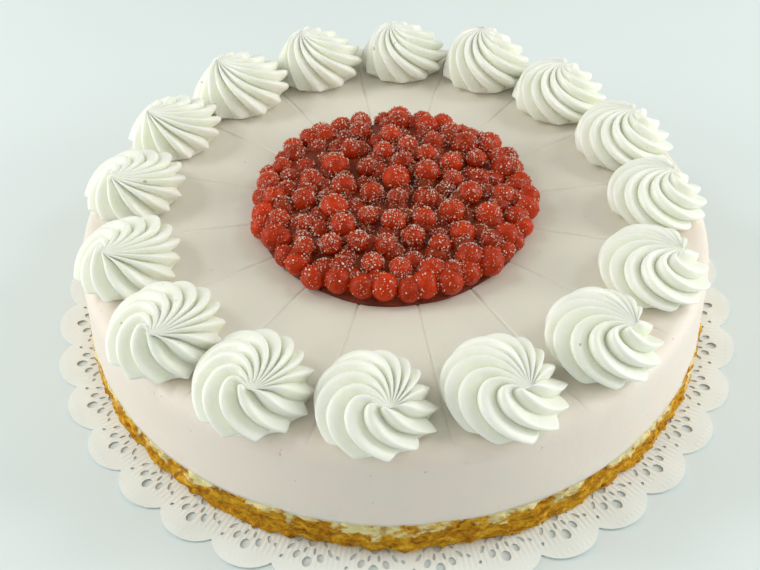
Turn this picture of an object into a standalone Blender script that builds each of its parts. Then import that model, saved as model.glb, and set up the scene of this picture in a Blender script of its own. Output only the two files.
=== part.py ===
"""Currant torte: a whole round cream torte of 26 cm on a lace paper doily.

From the table up it is a paper doily, a baked crust layer, one thick layer of cream
scored into sixteen portions, a low heap of currants set in jelly in the middle, and
sixteen piped cream rosettes round the rim. Metres, +Z up, origin at the middle of the
doily's underside.
"""

import math
import random

import bmesh
import bpy
from mathutils import Matrix, Vector, noise

# Driving dimensions, in metres and degrees
TORTE_RADIUS = 0.130
CRUST_HEIGHT = 0.0165
CREAM_HEIGHT = 0.0345
PORTIONS = 16
FIRST_SCORE_ANGLE = 121.4
REST_GAP = 0.0003

# Paper doily
PAPER_THICKNESS = 0.0008
DOILY_TIP_RADIUS = 0.1495
DOILY_LOBES = 36
DOILY_LOBE_ANGLE = -3.5
LOBE_ARC_RADIUS = 0.0152
LOBE_POINTS = 4
PIERCING_RADIUS = 0.1385
PIERCING_LENGTH = 0.0056
PIERCING_WIDTH = 0.0034
PIERCING_POINTS = 6

# Crust
CRUST_RADIUS = 0.1322
CRUST_RELIEF = 0.0022
CRUST_LUMP = 0.011
CRUST_FINE_LUMP = 0.0048
CRUST_FINE_SHARE = 0.5
CRUST_LEVELS = 4
CRUST_SEGMENTS = 72

# Cream layer
CREAM_FOOT_RADIUS = 0.1320
CREAM_EDGE_RADIUS = 0.0070
CREAM_EDGE_STEPS = 3
CREAM_SEGMENTS = 64
SCORE_WIDTH = 0.0012
SCORE_DEPTH = 0.0008
SCORE_START = 0.0560

# Currant heap
HEAP_RADIUS = 0.0605
HEAP_HEIGHT = 0.0150
CORE_FOOT_RADIUS = 0.0570
CORE_TOP_RADIUS = 0.0500
CORE_HEIGHT = 0.0103
CORE_SEGMENTS = 24
CURRANT_DIAMETERS = (0.0086, 0.0102)
CURRANT_SIDES = 6
CURRANT_RINGS = 4
CURRANT_PITCH = 0.0107
TOP_ROWS = 6
TOP_ROW_SPACING = 0.0097
PLACE_JITTER = 0.0004
CURRANT_SEED = 26

# Piped rosettes
RING_RADIUS = 0.1100
RING_SHIFT_LEFT = 0.0012
RING_CROWDING = 1.4
ROSETTE_RADIUS = 0.0187
ROSETTE_HEIGHT = 0.0190
FRONT_ROSETTES_LARGER = 0.04
SIZE_VARIATION = 0.01
HEIGHT_VARIATION = 0.08
ROSETTE_RIDGES = 13
RIDGE_DEPTH = 0.0034
RIDGE_FADE_RADIUS = 0.007
ROSETTE_LEVELS = (0.0, 0.16, 0.36, 0.57, 0.77, 0.92)
WIDEST_HEIGHT = 0.0045
SIDE_FULLNESS = 0.7
FOOT_TWIST = -60.0
TOP_TWIST = -90.0
TOP_TWIST_POWER = 1.3
NOZZLE_LOOP = 0.0085
NOZZLE_LOOP_ANGLE = 195.0
PEAK_OUTWARD = 0.0100
PEAK_SIDEWAYS = 0.0075
OUTWARD_POWER = 2.6
SIDEWAYS_POWER = 1.5
ROSETTE_SINK = 0.0060
SKIRT_TAPER = 0.68
ROSETTE_SEED = 16

# Heights at which the layers meet
CRUST_BOTTOM = PAPER_THICKNESS + REST_GAP
CREAM_BOTTOM = CRUST_BOTTOM + CRUST_HEIGHT
CREAM_TOP = CREAM_BOTTOM + REST_GAP + CREAM_HEIGHT

# Faces that meet at less than this angle are shaded as one round surface
SMOOTH_BELOW = math.radians(50.0)


# ---------------------------------------------------------------- shared tools

def clear_scene():
    """Remove every object of the open scene."""
    for thing in list(bpy.data.objects):
        bpy.data.objects.remove(thing, do_unlink=True)


def new_collection(name):
    """A new collection under the scene's own."""
    collection = bpy.data.collections.new(name)
    bpy.context.scene.collection.children.link(collection)
    return collection


def new_material(name, colour, roughness):
    """A Principled material of one colour (linear RGB) for food or paper."""
    material = bpy.data.materials.new(name)
    material.use_nodes = True
    shader = material.node_tree.nodes["Principled BSDF"]
    shader.inputs["Base Color"].default_value = (*colour, 1.0)
    shader.inputs["Roughness"].default_value = roughness
    shader.inputs["Metallic"].default_value = 0.0
    return material


def new_object(name, data, collection, material=None):
    """Put mesh or curve data in the scene under a name."""
    thing = bpy.data.objects.new(name, data)
    collection.objects.link(thing)
    if material is not None:
        data.materials.append(material)
    return thing


def mesh_from(bm, name):
    """Turn a bmesh into mesh data with its faces pointing out, shaded smooth where it is round."""
    bmesh.ops.recalc_face_normals(bm, faces=bm.faces)
    mesh = bpy.data.meshes.new(name)
    bm.to_mesh(mesh)
    bm.free()
    mesh.shade_smooth()
    mesh.set_sharp_from_angle(angle=SMOOTH_BELOW)
    return mesh


def turned_object(name, profile, segments, collection, material=None):
    """A solid of revolution about Z, from (radius, height) points listed top to bottom."""
    bm = bmesh.new()
    points = [bm.verts.new((radius, 0.0, height)) for radius, height in profile]
    for upper, lower in zip(points, points[1:]):
        bm.edges.new((upper, lower))
    mesh = bpy.data.meshes.new(name)
    bm.to_mesh(mesh)
    bm.free()
    thing = new_object(name, mesh, collection, material)
    screw = thing.modifiers.new("Turn", "SCREW")
    screw.steps = segments
    screw.render_steps = segments
    screw.use_merge_vertices = True
    screw.merge_threshold = 0.00001
    return thing


def apply_modifiers(thing):
    """Replace an object's mesh by its evaluated one and drop the modifiers."""
    graph = bpy.context.evaluated_depsgraph_get()
    graph.update()
    shaped = bpy.data.meshes.new_from_object(thing.evaluated_get(graph))
    thing.modifiers.clear()
    thing.data = shaped


def as_cutter(thing):
    """Mark an object as one that only cuts others."""
    thing.hide_render = True
    thing.display_type = "WIRE"


def cut_with(thing, cutters):
    """Take a collection of cutters away from an object."""
    cut = thing.modifiers.new("Cut", "BOOLEAN")
    cut.operation = "DIFFERENCE"
    cut.operand_type = "COLLECTION"
    cut.collection = cutters
    cut.solver = "EXACT"


def portion_angle(index):
    """Direction of one score line, counted clockwise from the back left."""
    return math.radians(FIRST_SCORE_ANGLE - index * 360.0 / PORTIONS)


# ------------------------------------------------------------------ the doily

def ring_spline(curve, points):
    """Add one closed straight-sided spline to a flat curve."""
    spline = curve.splines.new("POLY")
    spline.points.add(len(points) - 1)
    for place, (x, y) in zip(spline.points, points):
        place.co = (x, y, 0.0, 1.0)
    spline.use_cyclic_u = True


def lobe_reach(offset_angle):
    """Distance of a lobe's round edge from the doily's middle, by the angle from the lobe's tip."""
    centre = DOILY_TIP_RADIUS - LOBE_ARC_RADIUS
    across = centre * math.sin(offset_angle)
    return centre * math.cos(offset_angle) + math.sqrt(LOBE_ARC_RADIUS ** 2 - across ** 2)


def scalloped_outline():
    """Outline of the doily, one round lobe after another."""
    lobe = 2.0 * math.pi / DOILY_LOBES
    outline = []
    for index in range(DOILY_LOBES * LOBE_POINTS):
        step = index % LOBE_POINTS
        offset = (step / LOBE_POINTS - 0.5) * lobe
        angle = math.radians(DOILY_LOBE_ANGLE) + (index // LOBE_POINTS) * lobe + offset
        reach = lobe_reach(offset)
        outline.append((reach * math.cos(angle), reach * math.sin(angle)))
    return outline


def piercing(index):
    """Outline of the oval hole in the middle of one lobe."""
    angle = math.radians(DOILY_LOBE_ANGLE) + index * 2.0 * math.pi / DOILY_LOBES
    turn = Matrix.Rotation(angle, 2)
    outline = []
    for step in range(PIERCING_POINTS):
        round_angle = 2.0 * math.pi * step / PIERCING_POINTS
        along = PIERCING_RADIUS + 0.5 * PIERCING_LENGTH * math.cos(round_angle)
        across = 0.5 * PIERCING_WIDTH * math.sin(round_angle)
        outline.append(tuple(turn @ Vector((along, across))))
    return outline


def make_doily(collection):
    """Flat white paper with a scalloped edge and one row of oval holes."""
    paper = new_material("paper", (0.78, 0.83, 0.80), 0.75)
    curve = bpy.data.curves.new("lace_doily", "CURVE")
    curve.dimensions = "2D"
    curve.fill_mode = "BOTH"
    curve.extrude = 0.5 * PAPER_THICKNESS
    ring_spline(curve, scalloped_outline())
    for index in range(DOILY_LOBES):
        ring_spline(curve, piercing(index))
    doily = new_object("lace_doily", curve, collection, paper)
    doily.location.z = 0.5 * PAPER_THICKNESS


# ------------------------------------------------------------------ the crust

def make_crust(collection):
    """Baked layer with a crumbly, uneven outer wall, flat above and below."""
    baked = new_material("crust", (0.50, 0.24, 0.045), 0.85)
    bm = bmesh.new()
    top = CRUST_BOTTOM + CRUST_HEIGHT
    heights = [top - CRUST_HEIGHT * step / (CRUST_LEVELS - 1) for step in range(CRUST_LEVELS)]
    wall = [bm.verts.new((CRUST_RADIUS, 0.0, height)) for height in heights]
    edges = [bm.edges.new(pair) for pair in zip(wall, wall[1:])]
    bmesh.ops.spin(bm, geom=wall + edges, cent=(0, 0, 0), axis=(0, 0, 1), angle=2.0 * math.pi,
                   steps=CRUST_SEGMENTS, use_merge=True)
    for vertex in bm.verts:
        bump = noise.noise(vertex.co / CRUST_LUMP)
        bump += CRUST_FINE_SHARE * noise.noise(vertex.co / CRUST_FINE_LUMP)
        reach = 1.0 + CRUST_RELIEF * bump / CRUST_RADIUS
        vertex.co.x *= reach
        vertex.co.y *= reach
    bmesh.ops.holes_fill(bm, edges=[edge for edge in bm.edges if edge.is_boundary], sides=0)
    new_object("sponge_base", mesh_from(bm, "sponge_base"), collection, baked)


# ------------------------------------------------------------ the cream layer

def cream_profile(gap=0.0):
    """Profile of the cream layer, top to bottom; a gap makes it that much larger above and outside."""
    radius = TORTE_RADIUS + gap
    top = CREAM_TOP + gap
    edge = CREAM_EDGE_RADIUS + gap
    profile = [(0.0, top)]
    for step in range(CREAM_EDGE_STEPS + 1):
        angle = 0.5 * math.pi * (1.0 - step / CREAM_EDGE_STEPS)
        profile.append((radius - edge + edge * math.cos(angle), top - edge + edge * math.sin(angle)))
    profile.append((CREAM_FOOT_RADIUS + gap, CREAM_BOTTOM + REST_GAP))
    profile.append((0.0, CREAM_BOTTOM + REST_GAP))
    return profile


def score_cutter(index, cutters):
    """Long three-sided wedge that presses one score line into the cream."""
    length = TORTE_RADIUS - SCORE_START
    prism_radius = 2.0 * SCORE_DEPTH
    bm = bmesh.new()
    bmesh.ops.create_cone(bm, cap_ends=True, segments=3, radius1=prism_radius,
                          radius2=prism_radius, depth=length)
    mesh = mesh_from(bm, "score_cutter")
    cutter = new_object("score_cutter", mesh, cutters)

    # The prism lies on its edge, sunk by the depth, and is then made as wide as the score
    lie_down = Matrix.Rotation(0.5 * math.pi, 4, "Y")
    width_at_surface = 2.0 * SCORE_DEPTH * math.tan(math.radians(30.0))
    widen = Matrix.Diagonal((1.0, SCORE_WIDTH / width_at_surface, 1.0, 1.0))
    middle = Matrix.Translation((SCORE_START + 0.5 * length, 0.0, CREAM_TOP - SCORE_DEPTH + prism_radius))
    mesh.transform(Matrix.Rotation(portion_angle(index), 4, "Z") @ middle @ widen @ lie_down)
    as_cutter(cutter)


def make_cream(collection, cutters):
    """One thick turned layer with a soft upper edge and sixteen score lines."""
    cream = new_material("cream", (0.80, 0.76, 0.73), 0.45)
    body = turned_object("cream_body", cream_profile(), CREAM_SEGMENTS, collection, cream)
    for index in range(PORTIONS):
        score_cutter(index, cutters)
    cut_with(body, cutters)


# ------------------------------------------------------------ the currant heap

def currant_row(reach, height, rng):
    """Middles of one ring of currants, a berry's pitch apart, each a little out of line."""
    count = max(1, int(2.0 * math.pi * reach / CURRANT_PITCH))
    start = rng.uniform(0.0, 2.0 * math.pi)
    row = []
    for index in range(count):
        angle = start + 2.0 * math.pi * index / count
        shift = [rng.uniform(-PLACE_JITTER, PLACE_JITTER) for _ in range(3)]
        row.append(Vector((reach * math.cos(angle), reach * math.sin(angle), height)) + Vector(shift))
    return row


def currant_places(rng):
    """Middles of the currants above the jelly's underside: rows over the top, one row round the foot."""
    largest = 0.5 * CURRANT_DIAMETERS[1]
    places = []
    for row in range(TOP_ROWS):
        places += currant_row(row * TOP_ROW_SPACING, HEAP_HEIGHT - largest, rng)
    places += currant_row(HEAP_RADIUS - largest, largest + PLACE_JITTER, rng)
    return places


def make_currant_heap(collection):
    """Low disc of set jelly with the currants that show fused onto it."""
    red = new_material("currant", (0.42, 0.020, 0.008), 0.25)
    bottom = CREAM_TOP + REST_GAP
    core = bmesh.new()
    bmesh.ops.create_cone(core, cap_ends=True, segments=CORE_SEGMENTS, radius1=CORE_FOOT_RADIUS,
                          radius2=CORE_TOP_RADIUS, depth=CORE_HEIGHT)
    bmesh.ops.translate(core, vec=(0.0, 0.0, bottom + 0.5 * CORE_HEIGHT), verts=core.verts)
    heap = new_object("currant_heap", mesh_from(core, "currant_heap"), collection, red)

    currants = new_collection("currants")
    rng = random.Random(CURRANT_SEED)
    for place in currant_places(rng):
        bm = bmesh.new()
        bmesh.ops.create_uvsphere(bm, u_segments=CURRANT_SIDES, v_segments=CURRANT_RINGS,
                                  radius=0.5 * rng.uniform(*CURRANT_DIAMETERS))
        mesh = mesh_from(bm, "currant")
        turn = Matrix.Rotation(rng.uniform(0.0, math.pi), 4, "Z")
        mesh.transform(Matrix.Translation(place + Vector((0.0, 0.0, bottom))) @ turn)
        new_object("currant", mesh, currants)

    fuse = heap.modifiers.new("Fuse", "BOOLEAN")
    fuse.operation = "UNION"
    fuse.operand_type = "COLLECTION"
    fuse.collection = currants
    fuse.solver = "EXACT"
    apply_modifiers(heap)
    for currant in list(currants.objects):
        bpy.data.objects.remove(currant, do_unlink=True)
    bpy.data.collections.remove(currants)


# ---------------------------------------------------------------- the rosettes

def swirl_point(column_angle, level, size, height):
    """Place of one point of a piped swirl, in its own frame with +X pointing out of the torte.

    level runs from 0 at the widest ring to 1 at the peak. The star-shaped ring of cream
    shrinks and turns as it rises, and its middle follows the nozzle: one swing towards the
    torte's middle, then out and sideways to the off-centre peak.
    """
    rise = 0.5 * math.pi * level
    share = math.cos(rise) ** SIDE_FULLNESS
    reach = size * ROSETTE_RADIUS * share
    ridge = 0.5 * RIDGE_DEPTH * math.cos(ROSETTE_RIDGES * column_angle)
    reach += ridge * min(1.0, reach / RIDGE_FADE_RADIUS)
    twist = FOOT_TWIST * (1.0 - (1.0 - level) ** 2) + TOP_TWIST * (1.0 - share) ** TOP_TWIST_POWER
    angle = column_angle + math.radians(twist)
    swing = NOZZLE_LOOP * math.sin(math.pi * level)
    swing_angle = math.radians(NOZZLE_LOOP_ANGLE)
    middle_x = PEAK_OUTWARD * level ** OUTWARD_POWER + swing * math.cos(swing_angle)
    middle_y = PEAK_SIDEWAYS * level ** SIDEWAYS_POWER + swing * math.sin(swing_angle)
    z = WIDEST_HEIGHT + (height * ROSETTE_HEIGHT - WIDEST_HEIGHT) * math.sin(rise)
    return Vector((middle_x + reach * math.cos(angle), middle_y + reach * math.sin(angle), z))


def rosette_angle(index):
    """Direction of a rosette, between two score lines; they stand a little closer at the back."""
    middle = portion_angle(index + 0.5)
    return middle + math.radians(RING_CROWDING) * math.cos(middle)


def swirl_mesh(name, size, height):
    """Closed mesh of one swirl, drawn in below its widest ring and running down into the torte."""
    bm = bmesh.new()
    line = [bm.verts.new((1.0, 0.0, level)) for level in ROSETTE_LEVELS]
    edges = [bm.edges.new(pair) for pair in zip(line, line[1:])]
    bmesh.ops.spin(bm, geom=line + edges, cent=(0, 0, 0), axis=(0, 0, 1), angle=2.0 * math.pi,
                   steps=2 * ROSETTE_RIDGES, use_merge=True)
    for vertex in bm.verts:
        vertex.co = swirl_point(math.atan2(vertex.co.y, vertex.co.x), vertex.co.z, size, height)

    open_edges = [edge for edge in bm.edges if edge.is_boundary]
    widest = [edge for edge in open_edges if edge.verts[0].co.z < 0.5 * ROSETTE_HEIGHT]
    crown = [edge for edge in open_edges if edge not in widest]
    skirt = bmesh.ops.extrude_edge_only(bm, edges=widest)["geom"]
    skirt_verts = [part for part in skirt if isinstance(part, bmesh.types.BMVert)]
    skirt_edges = [part for part in skirt if isinstance(part, bmesh.types.BMEdge) and part.is_boundary]
    for vertex in skirt_verts:
        vertex.co = Vector((SKIRT_TAPER * vertex.co.x, SKIRT_TAPER * vertex.co.y, -ROSETTE_SINK))
    bmesh.ops.holes_fill(bm, edges=skirt_edges, sides=0)
    peak = bmesh.ops.extrude_edge_only(bm, edges=crown)["geom"]
    peak_verts = [part for part in peak if isinstance(part, bmesh.types.BMVert)]
    bmesh.ops.pointmerge(bm, verts=peak_verts, merge_co=swirl_point(0.0, 1.0, size, height))
    return mesh_from(bm, name)


def make_rosettes(collection, cutters):
    """The ring of sixteen star-nozzle swirls, each a little different, sitting on the cream."""
    cream = new_material("piped_cream", (0.84, 0.87, 0.82), 0.5)
    envelope = turned_object("cream_envelope", cream_profile(REST_GAP), CREAM_SEGMENTS, cutters)
    as_cutter(envelope)
    rng = random.Random(ROSETTE_SEED)
    for index in range(PORTIONS):
        angle = rosette_angle(index)
        size = 1.0 - FRONT_ROSETTES_LARGER * math.sin(angle)
        size += rng.uniform(-SIZE_VARIATION, SIZE_VARIATION)
        height = 1.0 + rng.uniform(-HEIGHT_VARIATION, HEIGHT_VARIATION)
        name = f"rosette_{index + 1:02d}"
        mesh = swirl_mesh(name, size, height)
        stand = Matrix.Translation((RING_RADIUS - RING_SHIFT_LEFT * math.cos(angle), 0.0, CREAM_TOP))
        mesh.transform(Matrix.Rotation(angle, 4, "Z") @ stand)
        rosette = new_object(name, mesh, collection, cream)
        cut_with(rosette, cutters)


clear_scene()
torte = new_collection("currant_torte")
score_cutters = new_collection("score_cutters")
rosette_cutters = new_collection("rosette_cutters")
make_doily(torte)
make_crust(torte)
make_cream(torte, score_cutters)
make_currant_heap(torte)
make_rosettes(torte, rosette_cutters)
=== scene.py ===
"""Looks of the currant torte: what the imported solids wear, in the order the torte is put together.

Paper doily, baked crust, cream with its score lines, piped rosettes, jelly, currants and
sugar, and last the floor, the lights and the camera. Metres, +Z up, in the frame of the solids.
"""
import math
import random

import bmesh
import bpy
from mathutils import Matrix, Vector, noise


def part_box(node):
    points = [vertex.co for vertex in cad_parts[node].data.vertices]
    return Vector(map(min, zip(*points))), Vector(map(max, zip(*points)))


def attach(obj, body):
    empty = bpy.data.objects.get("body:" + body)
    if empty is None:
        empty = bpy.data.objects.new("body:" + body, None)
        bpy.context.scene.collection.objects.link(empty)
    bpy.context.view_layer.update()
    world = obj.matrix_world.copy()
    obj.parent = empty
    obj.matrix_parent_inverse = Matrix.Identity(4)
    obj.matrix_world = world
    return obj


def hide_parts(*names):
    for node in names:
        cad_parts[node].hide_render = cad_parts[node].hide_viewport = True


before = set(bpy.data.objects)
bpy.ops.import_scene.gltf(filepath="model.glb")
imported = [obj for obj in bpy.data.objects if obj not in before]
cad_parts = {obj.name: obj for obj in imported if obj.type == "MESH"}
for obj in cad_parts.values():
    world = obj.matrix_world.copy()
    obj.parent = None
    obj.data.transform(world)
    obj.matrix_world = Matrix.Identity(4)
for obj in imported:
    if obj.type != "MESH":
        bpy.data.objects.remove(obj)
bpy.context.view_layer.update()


# ------------------------------------------------------------------ the doily
# A round doily of thin white paper, pressed with a lace pattern and punched in one go by a
# scalloped die: 36 lobes, each with a fan of holes round an oval one. The torte's weight
# keeps its middle flat, while the lobes curl up a little at their tips.

LOBES = 36
LOBE_ANGLE = math.radians(-3.5)
DOILY_TIP_RADIUS = 0.1495
LOBE_ARC_RADIUS = 0.0152
LOBE_ARC_POINTS = 16
PAPER_THICKNESS = 0.00030
PAPER_BOTTOM = 0.00015
LACE_INNER_RADIUS = 0.1255
INNER_EDGE_POINTS = 5
LOBE_SIDE_STEPS = 6
HOLE_FAN_RADIUS = 0.1250
LONGEST_LACE_EDGE = 0.0024
LOBE_JOIN = 0.00002
LOBE_LIFT = 0.0015
LOBE_LIFT_FROM = 0.1275
LOBE_LIFT_CURVE = 1.6
LIFT_SWAYS_PER_METRE = 22.0
RIBS_PER_LOBE = 12.0
RIB_DEPTH = 0.00005
PAPER_TONES = (0.91, 0.965, 0.935), (0.945, 0.985, 0.965)

# How deep the ribs are pressed at a share of the tip's radius: ribbed lace, then a pressed rim
RIBBED_BANDS = ((0.938, 1.0), (0.950, 0.15), (0.972, 0.0), (0.978, 1.0), (0.990, 0.0))

# The holes of one lobe: distance from the doily's middle, distance from the lobe's middle
# line, length outwards and width, with the number of corners
LOBE_HOLES = (
    (0.1308, 0.0000, 0.0048, 0.0038, 12),
    (0.1398, 0.0000, 0.0046, 0.0036, 10),
    (0.1374, 0.0045, 0.0038, 0.0027, 8),
    (0.1374, -0.0045, 0.0038, 0.0027, 8),
    (0.1346, 0.0075, 0.0036, 0.0016, 8),
    (0.1346, -0.0075, 0.0036, 0.0016, 8),
    (0.1350, 0.0018, 0.0030, 0.0012, 6),
    (0.1350, -0.0018, 0.0030, 0.0012, 6),
    (0.1312, 0.0048, 0.0030, 0.0013, 6),
    (0.1312, -0.0048, 0.0030, 0.0013, 6),
    (0.1358, 0.0106, 0.0020, 0.0014, 6),
    (0.1394, -0.0098, 0.0017, 0.0013, 6),
)


def link_piece(name, bm, material, smooth=True):
    """Put a finished bmesh in the scene as one piece of the torte."""
    mesh = bpy.data.meshes.new(name)
    bm.to_mesh(mesh)
    bm.free()
    if smooth:
        mesh.shade_smooth()
    mesh.materials.append(material)
    piece = bpy.data.objects.new(name, mesh)
    bpy.context.scene.collection.objects.link(piece)
    return piece


def shader_of(name):
    """A new material with its node tree, its Principled shader and its Object coordinates."""
    material = bpy.data.materials.new(name)
    material.use_nodes = True
    tree = material.node_tree
    shader = tree.nodes["Principled BSDF"]
    place = tree.nodes.new("ShaderNodeTexCoord").outputs["Object"]
    return material, tree, shader, place


def add_noise(tree, place, scale, detail=3.0, roughness=0.55, distortion=0.0):
    """Noise texture at that many waves per metre, with its grey output."""
    texture = tree.nodes.new("ShaderNodeTexNoise")
    texture.inputs["Scale"].default_value = scale
    texture.inputs["Detail"].default_value = detail
    texture.inputs["Roughness"].default_value = roughness
    texture.inputs["Distortion"].default_value = distortion
    tree.links.new(place, texture.inputs["Vector"])
    return texture.outputs["Fac"]


def add_ramp(tree, value, stops):
    """Colour ramp through (position, linear colour) stops."""
    ramp = tree.nodes.new("ShaderNodeValToRGB")
    elements = ramp.color_ramp.elements
    while len(elements) < len(stops):
        elements.new(0.5)
    for element, (position, colour) in zip(elements, stops):
        element.position = position
        element.color = (*colour, 1.0)
    tree.links.new(value, ramp.inputs["Fac"])
    return ramp.outputs["Color"]


def add_mask(tree, value, stops):
    """Grey ramp through (position, grey) stops."""
    return add_ramp(tree, value, [(position, (grey, grey, grey)) for position, grey in stops])


def add_mix(tree, factor, first, second):
    """Blend of two colours; either may be a socket or a linear colour."""
    mix = tree.nodes.new("ShaderNodeMix")
    mix.data_type = "RGBA"
    mix.clamp_factor = True
    for name, value in (("Factor", factor), ("A", first), ("B", second)):
        socket = mix.inputs[name]
        if isinstance(value, bpy.types.NodeSocket):
            tree.links.new(value, socket)
        elif isinstance(value, (int, float)):
            socket.default_value = value
        else:
            socket.default_value = (*value, 1.0)
    return mix.outputs["Result"]


def add_math(tree, operation, first, second=0.0):
    """One sum on two values; either may be a socket or a number."""
    node = tree.nodes.new("ShaderNodeMath")
    node.operation = operation
    for socket, value in zip(node.inputs, (first, second)):
        if isinstance(value, bpy.types.NodeSocket):
            tree.links.new(value, socket)
        else:
            socket.default_value = value
    return node.outputs["Value"]


def split_axes(tree, place):
    """The x, y and z of a place, as three sockets."""
    split = tree.nodes.new("ShaderNodeSeparateXYZ")
    tree.links.new(place, split.inputs["Vector"])
    return [split.outputs[axis] for axis in "XYZ"]


def add_reach(tree, x, y):
    """Distance of a place from the torte's axis."""
    squares = add_math(tree, "ADD", add_math(tree, "POWER", x, 2.0),
                       add_math(tree, "POWER", y, 2.0))
    return add_math(tree, "POWER", squares, 0.5)


def add_bump(tree, shader, height, distance, strength):
    """Bump of that real depth on the shader's normal."""
    bump = tree.nodes.new("ShaderNodeBump")
    bump.inputs["Distance"].default_value = distance
    bump.inputs["Strength"].default_value = strength
    tree.links.new(height, bump.inputs["Height"])
    tree.links.new(bump.outputs["Normal"], shader.inputs["Normal"])


def shader_group(name, inputs, outputs):
    """An empty shader node group with named sockets, and its input and output nodes."""
    group = bpy.data.node_groups.new(name, "ShaderNodeTree")
    for way, sockets in (("INPUT", inputs), ("OUTPUT", outputs)):
        for socket_name, kind in sockets:
            group.interface.new_socket(socket_name, in_out=way, socket_type=kind)
    given = group.nodes.new("NodeGroupInput").outputs
    wanted = group.nodes.new("NodeGroupOutput").inputs
    return group, given, wanted


def use_group(tree, group, **values):
    """Place a group in a material; values are sockets, numbers or linear colours by socket name."""
    node = tree.nodes.new("ShaderNodeGroup")
    node.node_tree = group
    for name, value in values.items():
        socket = node.inputs[name]
        if isinstance(value, bpy.types.NodeSocket):
            tree.links.new(value, socket)
        else:
            socket.default_value = (*value, 1.0) if isinstance(value, tuple) else value
    return node.outputs


def mottle_group():
    """Soft cloudy change between two tones, as on any food or paper, at a chosen scale."""
    group, given, wanted = shader_group(
        "soft_mottle",
        (("Vector", "NodeSocketVector"), ("Scale", "NodeSocketFloat"), ("Dark", "NodeSocketColor"),
         ("Light", "NodeSocketColor")),
        (("Colour", "NodeSocketColor"),))
    texture = group.nodes.new("ShaderNodeTexNoise")
    texture.inputs["Detail"].default_value = 3.0
    texture.inputs["Roughness"].default_value = 0.5
    group.links.new(given["Vector"], texture.inputs["Vector"])
    group.links.new(given["Scale"], texture.inputs["Scale"])
    spread = add_mask(group, texture.outputs["Fac"], ((0.32, 0.0), (0.68, 1.0)))
    group.links.new(add_mix(group, spread, given["Dark"], given["Light"]), wanted["Colour"])
    return group


soft_mottle = mottle_group()


def add_mottle(tree, place, scale, dark, light):
    """The soft mottle between two tones, at that many waves per metre."""
    return use_group(tree, soft_mottle, Vector=place, Scale=scale, Dark=dark, Light=light)["Colour"]


def doily_paper():
    """White embossed paper: fine ribs that follow the lobes, and a pressed rim line."""
    material, tree, shader, place = shader_of("doily_paper")
    x, y, _ = split_axes(tree, place)
    round_angle = add_math(tree, "ARCTAN2", y, x)
    tip_share = add_math(tree, "MULTIPLY", add_reach(tree, x, y), 1.0 / DOILY_TIP_RADIUS)
    ribs = add_math(tree, "SINE", add_math(tree, "MULTIPLY", round_angle, RIBS_PER_LOBE * LOBES))
    ribbed = add_mask(tree, tip_share, RIBBED_BANDS)
    pressed = add_math(tree, "MULTIPLY", add_math(tree, "ADD", ribs, 1.0), ribbed)
    fibre = add_noise(tree, place, 900.0)
    height = add_math(tree, "ADD", pressed, add_math(tree, "MULTIPLY", fibre, 0.6))
    add_bump(tree, shader, height, RIB_DEPTH, 0.8)
    tone = add_mottle(tree, place, 60.0, *PAPER_TONES)
    tree.links.new(tone, shader.inputs["Base Color"])
    shader.inputs["Roughness"].default_value = 0.75
    shader.inputs["Specular IOR Level"].default_value = 0.3
    return material


def lobe_outline():
    """Round edge of the lobe that points along +X, as flat points from one joint to the next."""
    centre = DOILY_TIP_RADIUS - LOBE_ARC_RADIUS
    outline = []
    for step in range(LOBE_ARC_POINTS + 1):
        angle = (step / LOBE_ARC_POINTS - 0.5) * 2.0 * math.pi / LOBES
        across = centre * math.sin(angle)
        reach = centre * math.cos(angle) + math.sqrt(LOBE_ARC_RADIUS ** 2 - across ** 2)
        outline.append((reach * math.cos(angle), reach * math.sin(angle)))
    return outline


def add_loop(bm, points):
    """One closed ring of edges through flat points."""
    ring = [bm.verts.new((x, y, 0.0)) for x, y in points]
    return [bm.edges.new(pair) for pair in zip(ring, ring[1:] + ring[:1])]


doily = bmesh.new()
half_lobe = math.pi / LOBES
inner_edge = []
for step in range(INNER_EDGE_POINTS):
    angle = half_lobe * (1.0 - 2.0 * step / (INNER_EDGE_POINTS - 1))
    inner_edge.append((LACE_INNER_RADIUS * math.cos(angle), LACE_INNER_RADIUS * math.sin(angle)))
rim = lobe_outline()
(rim_x, rim_y), (inner_x, inner_y) = rim[-1], inner_edge[0]
side_up = [(rim_x + (inner_x - rim_x) * step / LOBE_SIDE_STEPS,
            rim_y + (inner_y - rim_y) * step / LOBE_SIDE_STEPS)
           for step in range(1, LOBE_SIDE_STEPS)]
side_down = [(x, -y) for x, y in reversed(side_up)]
lace_edges = add_loop(doily, rim + side_up + inner_edge + side_down)
for reach, across, length, width, corners in LOBE_HOLES:
    lean = math.atan2(across, reach - HOLE_FAN_RADIUS)
    hole = []
    for corner in range(corners):
        angle = 2.0 * math.pi * (corner + 0.5) / corners
        out, side = 0.5 * length * math.cos(angle), 0.5 * width * math.sin(angle)
        hole.append((reach + out * math.cos(lean) - side * math.sin(lean),
                     across + out * math.sin(lean) + side * math.cos(lean)))
    lace_edges += add_loop(doily, hole)
bmesh.ops.triangle_fill(doily, use_beauty=True, use_dissolve=False, edges=lace_edges)
long_edges = [edge for edge in doily.edges if edge.calc_length() > LONGEST_LACE_EDGE]
bmesh.ops.subdivide_edges(doily, edges=long_edges, cuts=1, use_grid_fill=True)
bmesh.ops.triangulate(doily, faces=doily.faces)
bmesh.ops.rotate(doily, cent=(0, 0, 0), matrix=Matrix.Rotation(LOBE_ANGLE, 3, "Z"),
                 verts=doily.verts)
bmesh.ops.spin(doily, geom=doily.verts[:] + doily.edges[:] + doily.faces[:], cent=(0, 0, 0),
               axis=(0, 0, 1), angle=2.0 * math.pi * (LOBES - 1) / LOBES, steps=LOBES - 1,
               use_duplicate=True)
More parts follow.
